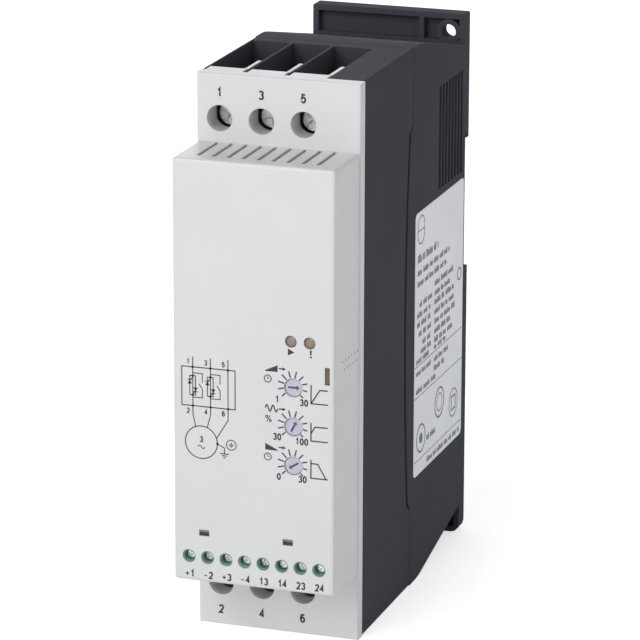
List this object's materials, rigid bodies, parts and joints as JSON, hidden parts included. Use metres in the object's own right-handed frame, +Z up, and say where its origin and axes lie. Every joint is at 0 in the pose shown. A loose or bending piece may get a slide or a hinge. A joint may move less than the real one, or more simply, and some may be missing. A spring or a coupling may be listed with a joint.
{
  "type": "motor soft starter",
  "caption": "Slim rail-mounted motor soft starter: pale stepped front with setting dials and screw terminals, black housing, rear mounting plate.",
  "frame": {"origin": "centre of the footprint, on the surface the device stands on", "axes": "+Z up; the control face looks along -Y, the mounting plate along +Y; +X is to the right seen from the front"},
  "size_m": [0.045, 0.118, 0.152],
  "materials": {
    "pale_plastic": "fine grained",
    "black_plastic": "satin",
    "green_plastic": "satin",
    "dial_plastic": "satin",
    "lamp_plastic": "translucent",
    "component_plastic": "satin",
    "circuit_board": "lacquered",
    "plated_steel": "zinc plated",
    "plated_copper": "tinned",
    "aluminium": "extruded"
  },
  "bodies": {
    "housing": {"front_cover": "pale_plastic", "terminal_housing": "black_plastic", "rear_housing": "black_plastic", "mounting_base": "black_plastic", "latch_spring": "plated_steel", "heat_sink": "aluminium", "control_terminal_block": "green_plastic", "control_board": "circuit_board", "power_board": "circuit_board", "board_link": "component_plastic", "bypass_relay_1": "component_plastic", "bypass_relay_2": "component_plastic", "thyristor_module_1": "component_plastic", "thyristor_module_2": "component_plastic", "run_led": "lamp_plastic", "error_led": "lamp_plastic", "line_busbar_1": "plated_copper", "line_busbar_2": "plated_copper", "line_busbar_3": "plated_copper", "load_busbar_1": "plated_copper", "load_busbar_2": "plated_copper", "load_busbar_3": "plated_copper", "start_pot": "component_plastic", "voltage_pot": "component_plastic", "stop_pot": "component_plastic", "base_screw_1": "plated_steel", "base_screw_2": "plated_steel", "base_screw_3": "plated_steel", "base_screw_4": "plated_steel"},
    "latch": {"din_latch": "black_plastic"},
    "start_dial": {"start_dial": "dial_plastic"},
    "voltage_dial": {"voltage_dial": "dial_plastic"},
    "stop_dial": {"stop_dial": "dial_plastic"},
    "line_screw_1": {"line_screw_1": "plated_steel"},
    "line_clamp_1": {"line_clamp_1": "plated_steel"},
    "line_screw_2": {"line_screw_2": "plated_steel"},
    "line_clamp_2": {"line_clamp_2": "plated_steel"},
    "line_screw_3": {"line_screw_3": "plated_steel"},
    "line_clamp_3": {"line_clamp_3": "plated_steel"},
    "load_screw_1": {"load_screw_1": "plated_steel"},
    "load_clamp_1": {"load_clamp_1": "plated_steel"},
    "load_screw_2": {"load_screw_2": "plated_steel"},
    "load_clamp_2": {"load_clamp_2": "plated_steel"},
    "load_screw_3": {"load_screw_3": "plated_steel"},
    "load_clamp_3": {"load_clamp_3": "plated_steel"},
    "control_screw_1": {"control_screw_1": "plated_steel"},
    "control_screw_2": {"control_screw_2": "plated_steel"},
    "control_screw_3": {"control_screw_3": "plated_steel"},
    "control_screw_4": {"control_screw_4": "plated_steel"},
    "control_screw_5": {"control_screw_5": "plated_steel"},
    "control_screw_6": {"control_screw_6": "plated_steel"},
    "control_screw_7": {"control_screw_7": "plated_steel"},
    "control_screw_8": {"control_screw_8": "plated_steel"}
  },
  "joints": [
    {"name": "start_dial_turn", "type": "hinge", "parent": "housing", "child": "start_dial", "pos_m": [0.011, -0.05865, 0.075], "axis": [0, 1, 0], "range_deg": [-225, 45]},
    {"name": "voltage_dial_turn", "type": "hinge", "parent": "housing", "child": "voltage_dial", "pos_m": [0.011, -0.05865, 0.0644], "axis": [0, 1, 0], "range_deg": [-163, 107]},
    {"name": "stop_dial_turn", "type": "hinge", "parent": "housing", "child": "stop_dial", "pos_m": [0.011, -0.05865, 0.0538], "axis": [0, 1, 0], "range_deg": [-12, 258]},
    {"name": "latch_pull", "type": "slide", "parent": "housing", "child": "latch", "axis": [0, 0, -1], "range_m": [0, 0.0035], "stiffness_N_per_m": 1500, "springref_m": -0.003, "deforming": ["latch_spring"]},
    {"name": "line_screw_1_turn", "type": "hinge", "parent": "housing", "child": "line_screw_1", "pos_m": [-0.0162, -0.031, 0.1395], "axis": [0, 1, 0], "range_deg": [0, 3086]},
    {"name": "line_clamp_1_lift", "type": "slide", "parent": "housing", "child": "line_clamp_1", "axis": [0, -1, 0], "range_m": [0, 0.006]},
    {"name": "line_screw_2_turn", "type": "hinge", "parent": "housing", "child": "line_screw_2", "pos_m": [-0.00465, -0.031, 0.1395], "axis": [0, 1, 0], "range_deg": [0, 3086]},
    {"name": "line_clamp_2_lift", "type": "slide", "parent": "housing", "child": "line_clamp_2", "axis": [0, -1, 0], "range_m": [0, 0.006]},
    {"name": "line_screw_3_turn", "type": "hinge", "parent": "housing", "child": "line_screw_3", "pos_m": [0.0069, -0.031, 0.1395], "axis": [0, 1, 0], "range_deg": [0, 3086]},
    {"name": "line_clamp_3_lift", "type": "slide", "parent": "housing", "child": "line_clamp_3", "axis": [0, -1, 0], "range_m": [0, 0.006]},
    {"name": "load_screw_1_turn", "type": "hinge", "parent": "housing", "child": "load_screw_1", "pos_m": [-0.0162, -0.031, 0.0125], "axis": [0, 1, 0], "range_deg": [0, 3086]},
    {"name": "load_clamp_1_lift", "type": "slide", "parent": "housing", "child": "load_clamp_1", "axis": [0, -1, 0], "range_m": [0, 0.006]},
    {"name": "load_screw_2_turn", "type": "hinge", "parent": "housing", "child": "load_screw_2", "pos_m": [-0.00465, -0.031, 0.0125], "axis": [0, 1, 0], "range_deg": [0, 3086]},
    {"name": "load_clamp_2_lift", "type": "slide", "parent": "housing", "child": "load_clamp_2", "axis": [0, -1, 0], "range_m": [0, 0.006]},
    {"name": "load_screw_3_turn", "type": "hinge", "parent": "housing", "child": "load_screw_3", "pos_m": [0.0069, -0.031, 0.0125], "axis": [0, 1, 0], "range_deg": [0, 3086]},
    {"name": "load_clamp_3_lift", "type": "slide", "parent": "housing", "child": "load_clamp_3", "axis": [0, -1, 0], "range_m": [0, 0.006]},
    {"name": "control_screw_1_turn", "type": "hinge", "parent": "housing", "child": "control_screw_1", "pos_m": [-0.018, -0.0566, 0.02585], "axis": [0, 1, 0], "range_deg": [0, 1440]},
    {"name": "control_screw_2_turn", "type": "hinge", "parent": "housing", "child": "control_screw_2", "pos_m": [-0.01284, -0.0566, 0.02585], "axis": [0, 1, 0], "range_deg": [0, 1440]},
    {"name": "control_screw_3_turn", "type": "hinge", "parent": "housing", "child": "control_screw_3", "pos_m": [-0.00769, -0.0566, 0.02585], "axis": [0, 1, 0], "range_deg": [0, 1440]},
    {"name": "control_screw_4_turn", "type": "hinge", "parent": "housing", "child": "control_screw_4", "pos_m": [-0.00253, -0.0566, 0.02585], "axis": [0, 1, 0], "range_deg": [0, 1440]},
    {"name": "control_screw_5_turn", "type": "hinge", "parent": "housing", "child": "control_screw_5", "pos_m": [0.00263, -0.0566, 0.02585], "axis": [0, 1, 0], "range_deg": [0, 1440]},
    {"name": "control_screw_6_turn", "type": "hinge", "parent": "housing", "child": "control_screw_6", "pos_m": [0.00779, -0.0566, 0.02585], "axis": [0, 1, 0], "range_deg": [0, 1440]},
    {"name": "control_screw_7_turn", "type": "hinge", "parent": "housing", "child": "control_screw_7", "pos_m": [0.01294, -0.0566, 0.02585], "axis": [0, 1, 0], "range_deg": [0, 1440]},
    {"name": "control_screw_8_turn", "type": "hinge", "parent": "housing", "child": "control_screw_8", "pos_m": [0.0181, -0.0566, 0.02585], "axis": [0, 1, 0], "range_deg": [0, 1440]}
  ],
  "couplings": [
    {"joint": "line_screw_1_turn", "follows": "line_clamp_1_lift", "rad_per_m": 8976},
    {"joint": "line_screw_2_turn", "follows": "line_clamp_2_lift", "rad_per_m": 8976},
    {"joint": "line_screw_3_turn", "follows": "line_clamp_3_lift", "rad_per_m": 8976},
    {"joint": "load_screw_1_turn", "follows": "load_clamp_1_lift", "rad_per_m": 8976},
    {"joint": "load_screw_2_turn", "follows": "load_clamp_2_lift", "rad_per_m": 8976},
    {"joint": "load_screw_3_turn", "follows": "load_clamp_3_lift", "rad_per_m": 8976}
  ]
}
